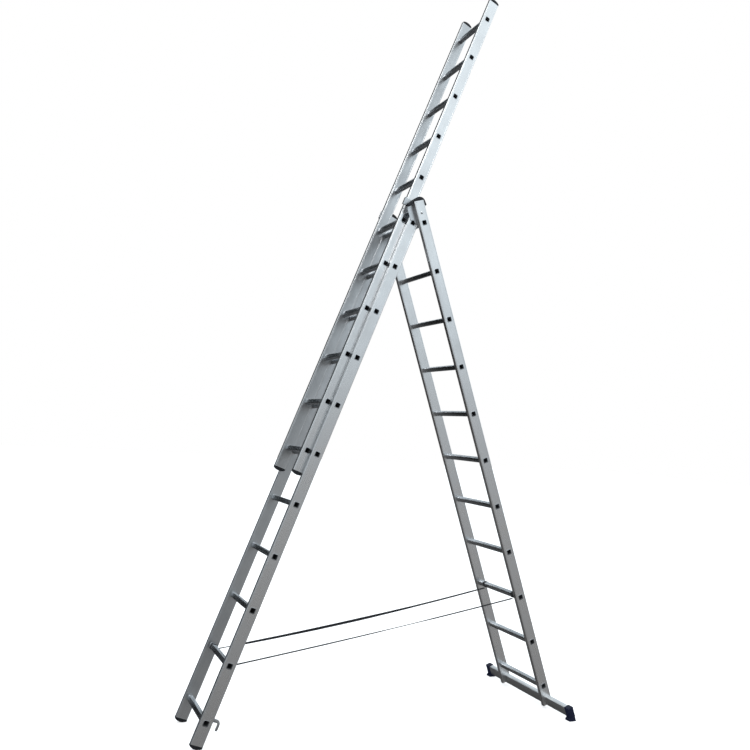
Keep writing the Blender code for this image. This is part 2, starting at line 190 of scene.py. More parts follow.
# Straps
STRAP_WIDTH = 0.020
STRAP_THICK = 0.0016
STRAP_CENTRE = 0.146
STRAP_SAG = {"near": 0.008, "far": 0.017}
STRAP_ROLL = {"near": [(0.0, -2.0), (0.30, -2.0), (0.44, -5.0), (0.54, -11.5), (0.62, -11.5),
                       (0.70, -3.0), (1.0, -2.0)],
              "far": [(0.0, -12.0), (0.045, -12.0), (0.10, 14.0), (0.20, 20.0), (0.35, 28.0),
                      (0.50, 30.0), (0.62, 18.0), (0.74, 8.0), (1.0, 4.0)]}
STRAP_MIDDLE_DROP = 9 * 0.280 + 0.008
STRAP_REAR_DROP = 8 * 0.280 + 0.019
STRAP_REACH = RUNG_HALF + 0.0012
LOOP_LIFT = 0.0009
LOOP_THICK = 0.0014
LOOP_RUNGS = (("middle", 2), ("rear", 3))
STRAP_POINTS = 36
STRAP_EASE = 20

# Dark flags in the studio, seen only in reflections: azimuth, cosines of the half-angles at
# which a flag starts and is full, and how much it takes away; then its fades at top and foot
FLAGS = [(radians(107.0), cos(radians(34.0)), cos(radians(26.0)), 0.97),
         (radians(-122.0), cos(radians(28.0)), cos(radians(14.0)), 0.70)]
FLAG_TOP = (0.68, 0.92)
FLAG_FOOT = (-0.55, -0.25)
FLAG_FOOT_SHARE = 0.35

# Studio, seen only in reflections: height in degrees, colour
STUDIO = [(-90, (0.02, 0.02, 0.02)), (-50, (0.05, 0.05, 0.05)), (-28, (0.18, 0.18, 0.18)),
          (-14, (0.27, 0.27, 0.27)), (-4, (0.32, 0.32, 0.32)), (2, (0.43, 0.45, 0.47)),
          (9, (0.74, 0.84, 0.91)), (20, (0.92, 1.02, 1.08)), (90, (1.02, 1.10, 1.15))]
FLOOR_HALF = 30.0
FLOOR_DROP = 0.0006
FLOOR_GLOW = 0.60
KEY_SIZE = (5.0, 3.0)
KEY_POWER = 190.0
KEY_PLACE = (-2.5, -4.5, 7.5)
KEY_AIM = (0.0, 0.0, 1.8)

CUT_PAST = 0.01
SMALL_GAP = 0.0001


# ---------------------------------------------------------------- frames

def rung_centre(section, number):
    low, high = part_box(f"{section}_rung_{number:02d}")
    return (low + high) / 2


def section_matrix(section):
    top = rung_centre(section, RUNG_COUNT)
    up = (top - rung_centre(section, 1)).normalized()
    rear = Vector((up.z, 0.0, -up.x))
    matrix = Matrix((rear, Vector((0, 1, 0)), up)).transposed().to_4x4()
    matrix.translation = top
    return matrix


MATRIX = {name: section_matrix(name) for name in SECTIONS}
PITCH = (rung_centre("rear", RUNG_COUNT) - rung_centre("rear", 1)).length / (RUNG_COUNT - 1)
OUTER = {name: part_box(f"{name}_rung_01")[1].y for name in SECTIONS}
INNER = {name: OUTER[name] - STILE_THICK for name in SECTIONS}


def spot(section, forward, across, below):
    """A place ahead of the rung plane and below the top rung, in the row frame."""
    return MATRIX[section] @ Vector((-forward, across, -below))


# ---------------------------------------------------------------- camera

def add_camera():
    data = bpy.data.cameras.new("camera")
    data.lens = CAMERA_LENS
    data.sensor_width = CAMERA_SENSOR
    data.clip_start, data.clip_end = CAMERA_CLIP
    camera = bpy.data.objects.new("camera", data)
    camera.location = CAMERA_PLACE
    camera.rotation_euler = [radians(turn) for turn in CAMERA_TURN]
    bpy.context.scene.collection.objects.link(camera)
    bpy.context.scene.camera = camera


# ---------------------------------------------------------------- mesh helpers

def loft(rings, closed=False, caps=True):
    """Vertices and faces through rings of equal length."""
    count = len(rings[0])
    verts = [point for ring in rings for point in ring]
    faces = []
    last = len(rings) if closed else len(rings) - 1
    for i in range(last):
        for j in range(count):
            k = (j + 1) % count
            this, other = i * count, ((i + 1) % len(rings)) * count
            faces.append((this + j, this + k, other + k, other + j))
    if caps and not closed:
        faces.append(tuple(reversed(range(count))))
        faces.append(tuple(range((len(rings) - 1) * count, len(rings) * count)))
    return verts, faces


def mesh_from(shells):
    """One mesh from (vertices, faces) shells, facing out."""
    work = bmesh.new()
    for verts, faces in shells:
        made = [work.verts.new(point) for point in verts]
        for face in faces:
            work.faces.new([made[i] for i in face])
    bmesh.ops.recalc_face_normals(work, faces=work.faces)
    mesh = bpy.data.meshes.new("work")
    work.to_mesh(mesh)
    work.free()
    return mesh


def rounded_rectangle(width, height, radius, steps=4, mid=(0.0, 0.0)):
    """Outline points, anticlockwise from the right-hand side."""
    points = []
    for corner, (sx, sy) in enumerate(((1, 1), (-1, 1), (-1, -1), (1, -1))):
        cx, cy = sx * (width / 2 - radius), sy * (height / 2 - radius)
        for i in range(steps + 1):
            angle = (corner + i / steps) * pi / 2
            points.append((mid[0] + cx + radius * cos(angle), mid[1] + cy + radius * sin(angle)))
    return points


def smooth_line(points, steps):
    """A Catmull-Rom line through 2-D points."""
    ends = [tuple(2 * a - b for a, b in zip(points[0], points[1])),
            tuple(2 * a - b for a, b in zip(points[-1], points[-2]))]
    line = [ends[0]] + list(points) + [ends[1]]
    out = []
    for i in range(1, len(line) - 2):
        p0, p1, p2, p3 = line[i - 1:i + 3]
        for step in range(steps):
            t = step / steps
            out.append(tuple(
                0.5 * (2 * b + (c - a) * t + (2 * a - 5 * b + 4 * c - d) * t ** 2
                       + (3 * b - a - 3 * c + d) * t ** 3)
                for a, b, c, d in zip(p0, p1, p2, p3)))
    out.append(points[-1])
    return out


def shade(mesh, angle=40.0, flat_axes=False):
    """Smooth shading, sharp past an angle; faces square to the axes can stay flat."""
    for polygon in mesh.polygons:
        square = flat_axes and max(abs(a) for a in polygon.normal) > 0.9999
        polygon.use_smooth = not square
    mesh.set_sharp_from_angle(angle=radians(angle))


def add_piece(name, mesh, material, body, replaced=(), matrix=None):
    if matrix is not None:
        mesh.transform(matrix)
    mesh.name = name
    mesh.materials.clear()
    for item in material if isinstance(material, (list, tuple)) else [material]:
        mesh.materials.append(item)
    piece = bpy.data.objects.new(name, mesh)
    bpy.context.scene.collection.objects.link(piece)
    if body:
        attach(piece, body)
    if replaced:
        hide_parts(*replaced)
    return piece


def cut(mesh, cutters):
    """The mesh with every cutter mesh taken away from it."""
    holder = bpy.data.objects.new("holder", mesh)
    bpy.context.scene.collection.objects.link(holder)
    tools = []
    for cutter in cutters:
        tool = bpy.data.objects.new("tool", cutter)
        bpy.context.scene.collection.objects.link(tool)
        modifier = holder.modifiers.new("cut", "BOOLEAN")
        modifier.object = tool
        modifier.operation = "DIFFERENCE"
        modifier.solver = "EXACT"
        tools.append(tool)
    bpy.context.view_layer.update()
    depsgraph = bpy.context.evaluated_depsgraph_get()
    result = bpy.data.meshes.new_from_object(holder.evaluated_get(depsgraph))
    for item in [holder] + tools:
        bpy.data.objects.remove(item, do_unlink=True)
    return result


# ---------------------------------------------------------------- materials

def new_material(name, metallic=0.0, **numbers):
    material = bpy.data.materials.new(name)
    material.use_nodes = True
    tree = material.node_tree
    tree.nodes.clear()
    output = tree.nodes.new("ShaderNodeOutputMaterial")
    shader = tree.nodes.new("ShaderNodeBsdfPrincipled")
    tree.links.new(shader.outputs["BSDF"], output.inputs["Surface"])
    shader.inputs["Metallic"].default_value = metallic
    for socket, value in numbers.items():
        shader.inputs[socket.replace("_", " ")].default_value = value
    return material, tree, shader


def coordinates(tree, turn=0.0, scale=(1.0, 1.0, 1.0)):
    """Object coordinates turned about the ladder's cross axis, then scaled."""
    source = tree.nodes.new("ShaderNodeTexCoord")
    turned = tree.nodes.new("ShaderNodeMapping")
    turned.inputs["Rotation"].default_value = (0.0, turn, 0.0)
    scaled = tree.nodes.new("ShaderNodeMapping")
    scaled.inputs["Scale"].default_value = scale
    tree.links.new(source.outputs["Object"], turned.inputs["Vector"])
    tree.links.new(turned.outputs["Vector"], scaled.inputs["Vector"])
    return scaled.outputs["Vector"]


def noise(tree, vector, scale, detail=3.0, rough=0.55):
    node = tree.nodes.new("ShaderNodeTexNoise")
    node.inputs["Scale"].default_value = scale
    node.inputs["Detail"].default_value = detail
    node.inputs["Roughness"].default_value = rough
    tree.links.new(vector, node.inputs["Vector"])
    return node.outputs["Fac"]


def remap(tree, value, low, high, to_low, to_high):
    node = tree.nodes.new("ShaderNodeMapRange")
    for socket, number in zip(("From Min", "From Max", "To Min", "To Max"),
                              (low, high, to_low, to_high)):
        node.inputs[socket].default_value = number
    tree.links.new(value, node.inputs["Value"])
    return node.outputs["Result"]


def combine(tree, first, second, operation="ADD"):
    node = tree.nodes.new("ShaderNodeMath")
    node.operation = operation
    tree.links.new(first, node.inputs[0])
    if isinstance(second, (int, float)):
        node.inputs[1].default_value = second
    else:
        tree.links.new(second, node.inputs[1])
    return node.outputs[0]


def blend_colours(tree, factor, first, second):
    node = tree.nodes.new("ShaderNodeMix")
    node.data_type = "RGBA"
    node.inputs[6].default_value = (*first, 1.0)
    node.inputs[7].default_value = (*second, 1.0)
    tree.links.new(factor, node.inputs[0])
    return node.outputs[2]


def bump(tree, shader, height, strength, distance):
    node = tree.nodes.new("ShaderNodeBump")
    node.inputs["Strength"].default_value = strength
    node.inputs["Distance"].default_value = distance
    tree.links.new(height, node.inputs["Height"])
    tree.links.new(node.outputs["Normal"], shader.inputs["Normal"])


def aluminium(name, light, dark, roughness, turn, streak, scuffs=0.5):
    """Mill-finish extrusion: die lines along it, cloudy oxide and a few scuffs."""
    material, tree, shader = new_material(name, metallic=1.0)
    lines = noise(tree, coordinates(tree, turn, streak), 1.0, 4.0, 0.6)
    cloud = noise(tree, coordinates(tree), 9.0, 4.0, 0.6)
    scratch = noise(tree, coordinates(tree, turn + 0.5, (900.0, 40.0, 25.0)), 1.0, 2.0, 0.5)
    marks = remap(tree, scratch, 0.66, 0.72, 0.0, scuffs)
    tone = combine(tree, combine(tree, remap(tree, lines, 0.3, 0.7, 0.0, 0.45),
                                 remap(tree, cloud, 0.35, 0.65, 0.0, 0.45)), marks)
    tree.links.new(blend_colours(tree, tone, light, dark), shader.inputs["Base Color"])
    rough = combine(tree, remap(tree, lines, 0.3, 0.7, roughness - 0.04, roughness + 0.05),
                    combine(tree, remap(tree, cloud, 0.35, 0.65, -0.03, 0.05),
                            combine(tree, marks, 0.2, "MULTIPLY")))
    tree.links.new(rough, shader.inputs["Roughness"])
    bump(tree, shader, combine(tree, lines, marks, "SUBTRACT"), 0.12, 0.0002)
    return material


def zinc(name, light, dark, roughness):
    """Zinc-plated steel with a mottled bloom."""
    material, tree, shader = new_material(name, metallic=1.0)
    bloom = tree.nodes.new("ShaderNodeTexVoronoi")
    bloom.inputs["Scale"].default_value = 130.0
    tree.links.new(coordinates(tree), bloom.inputs["Vector"])
    grain = noise(tree, coordinates(tree), 260.0, 3.0)
    tone = combine(tree, remap(tree, bloom.outputs["Distance"], 0.0, 0.9, 0.0, 0.6),
                   remap(tree, grain, 0.3, 0.7, 0.0, 0.4))
    tree.links.new(blend_colours(tree, tone, light, dark), shader.inputs["Base Color"])
    tree.links.new(remap(tree, grain, 0.3, 0.7, roughness - 0.06, roughness + 0.08),
                   shader.inputs["Roughness"])
    bump(tree, shader, grain, 0.15, 0.0002)
    return material


def plastic(name, deep, worn, roughness, gloss=0.35):
    """Moulded plastic with a fine spark texture and greyish rub marks."""
    material, tree, shader = new_material(name, Specular_IOR_Level=gloss)
    grain = noise(tree, coordinates(tree), 1500.0, 2.0)
    rub = noise(tree, coordinates(tree), 60.0, 5.0, 0.65)
    tone = combine(tree, remap(tree, rub, 0.55, 0.75, 0.0, 0.8),
                   remap(tree, grain, 0.4, 0.6, 0.0, 0.15))
    tree.links.new(blend_colours(tree, tone, deep, worn), shader.inputs["Base Color"])
    tree.links.new(remap(tree, rub, 0.35, 0.7, roughness, roughness + 0.18),
                   shader.inputs["Roughness"])
    bump(tree, shader, grain, 0.25, 0.0002)
    return material


def webbing(name):
    """Woven polyester tape: ribs along it and a twill across."""
    material, tree, shader = new_material(
        name, Sheen_Weight=0.04, Sheen_Roughness=0.5, Specular_IOR_Level=0.06)
    vector = coordinates(tree)
    heights = []
    for axis, scale in (("X", 900.0), ("Y", 640.0)):
        wave = tree.nodes.new("ShaderNodeTexWave")
        wave.bands_direction = axis
        wave.inputs["Scale"].default_value = scale / tau
        wave.inputs["Distortion"].default_value = 0.6
        wave.inputs["Detail"].default_value = 1.0
        tree.links.new(vector, wave.inputs["Vector"])
        heights.append(wave.outputs["Fac"])
    weave = combine(tree, heights[0], heights[1], "MULTIPLY")
    fuzz = noise(tree, vector, 700.0, 3.0)
    tone = combine(tree, weave, remap(tree, fuzz, 0.3, 0.7, 0.0, 0.5))
    tree.links.new(blend_colours(tree, tone, (0.006, 0.006, 0.007), (0.030, 0.030, 0.033)),
                   shader.inputs["Base Color"])
    tree.links.new(remap(tree, fuzz, 0.3, 0.7, 0.72, 0.92), shader.inputs["Roughness"])
    bump(tree, shader, weave, 0.6, 0.0005)
    return material


def stile_turn(section):
    up = MATRIX[section].to_3x3().col[2]
    return -acos(up.z) * (1 if up.x > 0 else -1)


STILE_STREAK = (420.0, 420.0, 2.2)
ACROSS_STREAK = (420.0, 2.6, 420.0)
STILE_LIGHT, STILE_DARK = (0.87, 0.87, 0.87), (0.735, 0.735, 0.74)
MATERIAL = {
    "front stile": aluminium("front_stile_aluminium", STILE_LIGHT, STILE_DARK, 0.27,
                             stile_turn("middle"), STILE_STREAK),
    "rear stile": aluminium("rear_stile_aluminium", STILE_LIGHT, STILE_DARK, 0.27,
                            stile_turn("rear"), STILE_STREAK),
    # painted shade: a darker, rougher copy of the stile aluminium for the stiles' inner faces and
    # the middle section's narrow front
    "painted shade face": aluminium("painted_shade_stile_aluminium", (0.68, 0.69, 0.70), (0.50, 0.51, 0.52), 0.33,
                            stile_turn("middle"), STILE_STREAK),
    "rung": aluminium("rung_aluminium", (0.68, 0.70, 0.72), (0.50, 0.52, 0.55), 0.24,
                      0.0, ACROSS_STREAK),
    # painted shade: a much darker, rougher copy of the rung aluminium inside each rung's bore
    "bore": aluminium("rung_bore_painted_shade", (0.30, 0.31, 0.32), (0.20, 0.20, 0.21), 0.55,
                      0.0, ACROSS_STREAK),
    "bar": aluminium("bar_aluminium", (0.80, 0.81, 0.81), (0.64, 0.65, 0.66), 0.32,
                     0.0, ACROSS_STREAK),
    "zinc": zinc("zinc_steel", (0.74, 0.76, 0.78), (0.54, 0.56, 0.58), 0.34),
    "bolt": zinc("bolt_steel", (0.80, 0.81, 0.83), (0.60, 0.62, 0.64), 0.24),
    # dark steel for the latch plates and guide rivets; on the guide brackets' forward and downward
    # faces it is painted shade
    "dark steel and painted shade": zinc("latch_steel_and_painted_shade", (0.17, 0.18, 0.19), (0.10, 0.11, 0.12), 0.42),
    "black": plastic("black_plastic", (0.006, 0.007, 0.010), (0.030, 0.031, 0.036), 0.44),
    "navy": plastic("navy_plastic", (0.004, 0.006, 0.022), (0.020, 0.025, 0.055), 0.40, 0.15),
    "webbing": webbing("black_webbing"),
}


# ---------------------------------------------------------------- straps

def strap_line(side):
    """Centre line of a strap, from the middle section's rung back to the rear section's."""
    across = SIDES[side] * STRAP_CENTRE
    start = spot("middle", -STRAP_REACH, across, STRAP_MIDDLE_DROP)
    stop = spot("rear", STRAP_REACH, across, STRAP_REAR_DROP)
    line = []
    for i in range(STRAP_POINTS + 1):
        part = i / STRAP_POINTS
        point = start.lerp(stop, part)
        point.z -= 4 * STRAP_SAG[side] * part * (1 - part)
        line.append(point)
    return line


def tape_section(width, thick):
    """Cross-section of a tape with rounded, slightly thicker edges."""
    half, edge = width / 2, thick / 2
    return [(half, 0.0), (half - 0.0004, 0.8 * edge), (half - 0.0012, edge),
            (half - 0.0028, 0.86 * edge), (0.0, 0.78 * edge), (0.0028 - half, 0.86 * edge),
            (0.0012 - half, edge), (0.0004 - half, 0.8 * edge), (-half, 0.0),
            (0.0004 - half, -0.8 * edge), (0.0012 - half, -edge), (0.0028 - half, -0.86 * edge),
            (0.0, -0.78 * edge), (half - 0.0028, -0.86 * edge), (half - 0.0012, -edge),
            (half - 0.0004, -0.8 * edge)]


def tape_rings(line, rolls, width=STRAP_WIDTH, thick=STRAP_THICK, closed=False):
    rings = []
    count = len(line)
    for i, (point, roll) in enumerate(zip(line, rolls)):
        if closed:
            along = line[(i + 1) % count] - line[i - 1]
        else:
            along = line[min(i + 1, count - 1)] - line[max(i - 1, 0)]
        along.normalize()
        side = Vector((0, 1, 0))
        side = (side - along * side.dot(along)).normalized()
        side = Matrix.Rotation(roll, 3, along) @ side
        lift = along.cross(side)
        rings.append([point + side * a + lift * b for a, b in tape_section(width, thick)])
    return rings


def strap_roll(side, part):
    """How far the tape is twisted about its own line, in degrees."""
    stops = STRAP_ROLL[side]
    for (low, first), (high, second) in zip(stops, stops[1:]):
        if part <= high:
            share = (1 - cos(pi * (part - low) / (high - low))) / 2
            return first + (second - first) * share
    return stops[-1][1]


def add_strap(side):
    line = strap_line(side)
    rolls = []
    for i in range(len(line)):
        part = i / STRAP_POINTS
        ease = min(1.0, STRAP_EASE * part, STRAP_EASE * (1 - part))
        rolls.append(ease * radians(strap_roll(side, part)))
    mesh = mesh_from([loft(tape_rings(line, rolls))])
    shade(mesh, 60.0)
    strap = add_piece(f"webbing_strap_{side}", mesh, MATERIAL["webbing"], None,
                      [f"spread_strap_{side}"])
    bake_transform(strap)


# ---------------------------------------------------------------- shapes

def inset(outline, distance):
    """A closed outline moved inwards along its normals."""
    count = len(outline)
    area = sum(a[0] * b[1] - b[0] * a[1] for a, b in zip(outline, outline[1:] + outline[:1]))
    turn = 1 if area > 0 else -1
    moved = []
    for i, (x, z) in enumerate(outline):
        before, after = outline[i - 1], outline[(i + 1) % count]
        along = Vector((after[0] - before[0], after[1] - before[1])).normalized()
        moved.append((x - turn * along.y * distance, z + turn * along.x * distance))
    return moved


def slab(outline, low, high, rounding):
    """An (x, z) outline extruded across the ladder, with rounded edges."""
    edge = [(0.0, 0.9), (0.12, 0.5), (0.4, 0.15), (1.0, 0.0)]
    places = [(low + a * rounding, b * rounding) for a, b in edge]
    places += [(high - a * rounding, b * rounding) for a, b in reversed(edge)]
    rings = []
    for across, amount in places:
        flat = inset(outline, amount) if amount else outline
        rings.append([(x, across, z) for x, z in flat])
    return loft(rings)


def button(x, z, face, way, profile, count=28):
    """A turned head on a face square to y; profile is (radius, height) from the face out."""
    rings = []
    for radius, height in profile:
        rings.append([(x + radius * cos(tau * i / count), face + way * height,
                       z + radius * sin(tau * i / count)) for i in range(count)])
    return loft(rings)


def dome(radius, height):
    return [(radius, 0.0), (radius, 0.25 * height), (0.93 * radius, 0.6 * height),
            (0.72 * radius, 0.86 * height), (0.4 * radius, 0.98 * height), (0.05 * radius, height)]


def mirrored_ends(side, low, high):
    """The span low..high of |y| on one side of the ladder."""
    return sorted((SIDES[side] * low, SIDES[side] * high))


# ---------------------------------------------------------------- stiles

def stile_outline(middle, shrink, radius, groove):
    """(x, y) outline of an extrusion with two shallow grooves in each wide face."""
    half = STILE_THICK / 2 - shrink
    base = rounded_rectangle(STILE_DEPTH - 2 * shrink, 2 * half, radius, 4, (0.0, middle))
    step = len(base) // 4
    steps = ((GROOVE_HALF, 0.0), (0.5 * GROOVE_HALF, groove), (-0.5 * GROOVE_HALF, groove),
             (-GROOVE_HALF, 0.0))
    over = [(place + offset, middle + half - deep)
            for place in (GROOVE_PLACE, -GROOVE_PLACE) for offset, deep in steps]
    under = [(place - offset, middle - half + deep)
             for place in (-GROOVE_PLACE, GROOVE_PLACE) for offset, deep in steps]
    return base[:step] + over + base[step:3 * step] + under + base[3 * step:]


def stile_tube(section, side):
    middle = SIDES[side] * (OUTER[section] - STILE_THICK / 2)
    outer = stile_outline(middle, 0.0, STILE_ROUND, GROOVE_DEEP)
    inner = stile_outline(middle, STILE_WALL, STILE_ROUND - STILE_WALL, 0.0)
    low = -(RUNG_COUNT - 1) * PITCH - STILE_BELOW[section]
    rings = [[(x, y, z) for x, y in outline]
             for outline, z in ((outer, low), (outer, STILE_ABOVE[section]),
                                (inner, STILE_ABOVE[section]), (inner, low))]
    return mesh_from([loft(rings, closed=True)])


def opening_bars(section, side):
    """Bars that cut the rung openings through one stile."""
    reach = mirrored_ends(side, INNER[section] - CUT_PAST, OUTER[section] + CUT_PAST)
    size = 2 * (RUNG_HALF + RUNG_CLEARANCE)
    outline = rounded_rectangle(size, size, RUNG_ROUND + RUNG_CLEARANCE, 3)
    shells = []
    for number in range(RUNG_COUNT):
        rings = [[(x, y, z - number * PITCH) for x, z in outline] for y in reach]
        shells.append(loft(rings))
    return mesh_from(shells)


def block(x_span, y_span, z_span, radius=0.0005):
    """A rounded bar along y, as a cutting tool."""
    outline = rounded_rectangle(x_span[1] - x_span[0], z_span[1] - z_span[0], radius, 3,
                                (sum(x_span) / 2, sum(z_span) / 2))
    return mesh_from([loft([[(x, y, z) for x, z in outline] for y in y_span])])


def paint_shade_on_faces(tube, section, side):
    """Painted shade: the face the rungs butt against, and the middle section's narrow front, get a
    darker and rougher copy of the stile aluminium.
    """
    tube.data.materials.append(MATERIAL["painted shade face"])
    limit = INNER[section] + 0.0008
    turn = MATRIX[section].to_3x3().transposed()
    for polygon in tube.data.polygons:
        inward = -SIDES[side] * polygon.normal.y
        inner = inward > 0.9 and SIDES[side] * polygon.center.y < limit
        front = section == "middle" and (turn @ polygon.normal).x < -0.35
        if inner or front:
            polygon.material_index = 1


def add_stile(section, side):
    reach = mirrored_ends(side, INNER[section] - CUT_PAST, OUTER[section] + CUT_PAST)
    tools = [opening_bars(section, side)]
    if section == "rear":
        tools.append(block((-CAP_GAP, STILE_DEPTH), reach,
                           (-BAR_TOP - BAR_NOTCH, -BAR_TOP + CAP_GAP)))
    if section == "middle":
        hole = button(PIVOT_REAR, PIVOT_UP, reach[0], 1, [(PIN_HOLE, 0.0), (PIN_HOLE, 0.044)])
        tools.append(mesh_from([hole]))
    mesh = cut(stile_tube(section, side), tools)
    shade(mesh, 35.0, flat_axes=True)
    use = MATERIAL["rear stile" if section == "rear" else "front stile"]
    tube = add_piece(f"{section}_stile_tube_{side}", mesh, use, BODY[section],
                     [f"{section}_stile_{side}"], MATRIX[section])
    # painted shade on the inner faces, and on the middle section's narrow front
    if section != "rear":
        paint_shade_on_faces(tube, section, side)


# ---------------------------------------------------------------- rungs

def rung_ring(y, grow, groove, wall=0.0):
    """A square tube's section with tread grooves in its top and bottom."""
    half = RUNG_HALF + grow - wall
    base = rounded_rectangle(2 * half, 2 * half, RUNG_ROUND + grow - wall, 3)
    step = len(base) // 4
    steps = [(offset, share * groove) for offset, share in TREAD_STEPS]
    marks = [(i - TREAD_GROOVES // 2) * TREAD_PITCH for i in range(TREAD_GROOVES)]
    over = [(mark + offset, half - deep) for mark in reversed(marks) for offset, deep in steps]
    under = [(mark - offset, deep - half) for mark in marks for offset, deep in steps]
    outline = base[:step] + over + base[step:3 * step] + under + base[3 * step:]
    return [(x, y, z) for x, z in outline]


def rung_mesh(section, rim):
    """A ribbed tube, swaged inside both stiles and flared over their outer faces."""
    inner, outer = INNER[section], OUTER[section]
    end = [(inner + place, grow, deep) for place, grow, deep in SWAGE]
    end += [(outer - 0.0002, 0.0, 1.0), (outer + 0.0001, 0.0022, 0.0),
            (outer + 0.7 * rim, 0.0020, 0.0), (outer + rim, 0.0009, 0.0)]
    right = [rung_ring(y, grow, TREAD_DEEP * deep) for y, grow, deep in end]
    left = [rung_ring(-y, grow, TREAD_DEEP * deep) for y, grow, deep in reversed(end)]
    bore = [rung_ring(outer + 0.8 * rim, 0.0, 0.0, 0.6 * RUNG_WALL),
            rung_ring(outer - BORE_STEP, 0.0, 0.0, RUNG_WALL),
            rung_ring(BORE_STEP - outer, 0.0, 0.0, RUNG_WALL),
            rung_ring(-outer - 0.8 * rim, 0.0, 0.0, 0.6 * RUNG_WALL)]
    rings = left + right + bore
    mesh = mesh_from([loft(rings, closed=True)])
    count = len(rings[0])
    first = len(left + right) * count
    return mesh, range(first, first + (len(bore) - 1) * count)


def add_rungs(section):
    for number in range(1, RUNG_COUNT + 1):
        at_hinge = section == "middle" and number == RUNG_COUNT
        mesh, bore_faces = rung_mesh(section, RIM_AT_HINGE if at_hinge else RIM_PROUD[section])
        shade(mesh, 32.0)
        matrix = MATRIX[section] @ Matrix.Translation((0, 0, -(RUNG_COUNT - number) * PITCH))
        tube = add_piece(f"{section}_rung_tube_{number:02d}", mesh,
                         [MATERIAL["rung"], MATERIAL["bore"]], BODY[section],
                         [f"{section}_rung_{number:02d}"], matrix)
        # the bore faces take the darker material, painted shade inside the tube
        for face in bore_faces:
            tube.data.polygons[face].material_index = 1


# ---------------------------------------------------------------- caps

def cap_outline(edge, way, ribbed):
    """(x, z) outline of a curved cap; way is 1 for a top cap and -1 for a foot."""
    half = STILE_DEPTH / 2
    centre = edge + way * (CAP_COLLAR - (CAP_RADIUS ** 2 - half ** 2) ** 0.5)
    spread = asin(half / FACE_RADIUS)
    count = 44
    start = edge + way * CAP_GAP
    points = [(-half, start)]
    for i in range(count + 1):
        angle = spread * (2 * i / count - 1)
        deep = RIB_DEEP if ribbed and i % 4 in (2, 3) and 3 < i < count - 3 else 0.0
        size = FACE_RADIUS - deep
        points.append((size * sin(angle), centre + way * size * cos(angle)))
    points.append((half, start))
    return points


def skirt(section, side, edge, way):
    """The part of a cap that sleeves the end of its stile."""
    middle = SIDES[side] * (OUTER[section] - STILE_THICK / 2)
    rings = []
    for grow, drop in ((SKIRT_SEAT, 0.0), (SKIRT_PROUD, SKIRT_LIP),
                       (SKIRT_PROUD, SKIRT_DROP[section]), (SKIRT_SEAT, SKIRT_DROP[section])):
        ring = rounded_rectangle(STILE_DEPTH + 2 * grow, STILE_THICK + 2 * grow,
                                 STILE_ROUND + grow, 4, (0.0, middle))
        rings.append([(x, y, edge - way * drop) for x, y in ring])
    if way < 0:
        rings.reverse()
    return loft(rings, closed=True)


def add_caps(section):
    low = -(RUNG_COUNT - 1) * PITCH - STILE_BELOW[section]
    for side in SIDES:
        ends = mirrored_ends(side, INNER[section] - CAP_PROUD, OUTER[section] + CAP_PROUD)
        for kind, edge, way in (("top", STILE_ABOVE[section], 1), ("foot", low, -1)):
            outline = cap_outline(edge, way, kind == "foot")
            mesh = mesh_from([slab(outline, *ends, CAP_ROUNDING["end"]),
                              skirt(section, side, edge, way)])
            shade(mesh, 38.0)
            add_piece(f"{section}_{kind}_cap_moulding_{side}", mesh, MATERIAL["black"],
                      BODY[section], [f"{section}_{kind}_cap_{side}"],
                      MATRIX[section])


def add_rear_caps():
    edge = STILE_DEPTH / 2 + CAP_GAP
    top = STILE_ABOVE["rear"]
    under = REAR_CAP_LIP + [(-edge, -0.108), (-edge, -top - CAP_GAP), (edge, -top - CAP_GAP)]
    for side in SIDES:
        outer = smooth_line(REAR_CAP_WING_TOP[side] + REAR_CAP_DOME, 5)
        outline = [(-forward, -below)
                   for forward, below in outer + under + REAR_CAP_WING_UNDER[side]]
        ends = mirrored_ends(side, INNER["rear"], OUTER["rear"])
        mesh = mesh_from([slab(outline, *ends, CAP_ROUNDING["rear"]),
                          skirt("rear", side, top, 1)])
        shade(mesh, 38.0)
        add_piece(f"rear_top_cap_moulding_{side}", mesh, MATERIAL["black"], BODY["rear"],
                  [f"rear_top_cap_{side}"], MATRIX["rear"])


# ---------------------------------------------------------------- hinge, guides and hooks

def add_hinge_details():
    """Bolts through the rear stiles and the heads of the hinge pins."""
    for side, sign in SIDES.items():
        outside = sign * OUTER["rear"]
        pin_face = sign * (INNER["middle"] - SMALL_GAP)
        bolts = [button(0.0, HINGE_BOLT_UP, outside, sign, dome(*HINGE_BOLT_HEAD)),
                 button(*HINGE_RIVET, outside, sign, dome(*HINGE_RIVET_HEAD), 16),
                 button(-PIVOT_AHEAD_OF_REAR, PIVOT_UP, pin_face, -sign, PIN_HEAD)]
        mesh = mesh_from(bolts)
        shade(mesh, 45.0)
        add_piece(f"hinge_bolts_{side}", mesh, MATERIAL["bolt"], BODY["rear"],
                  (), MATRIX["rear"])


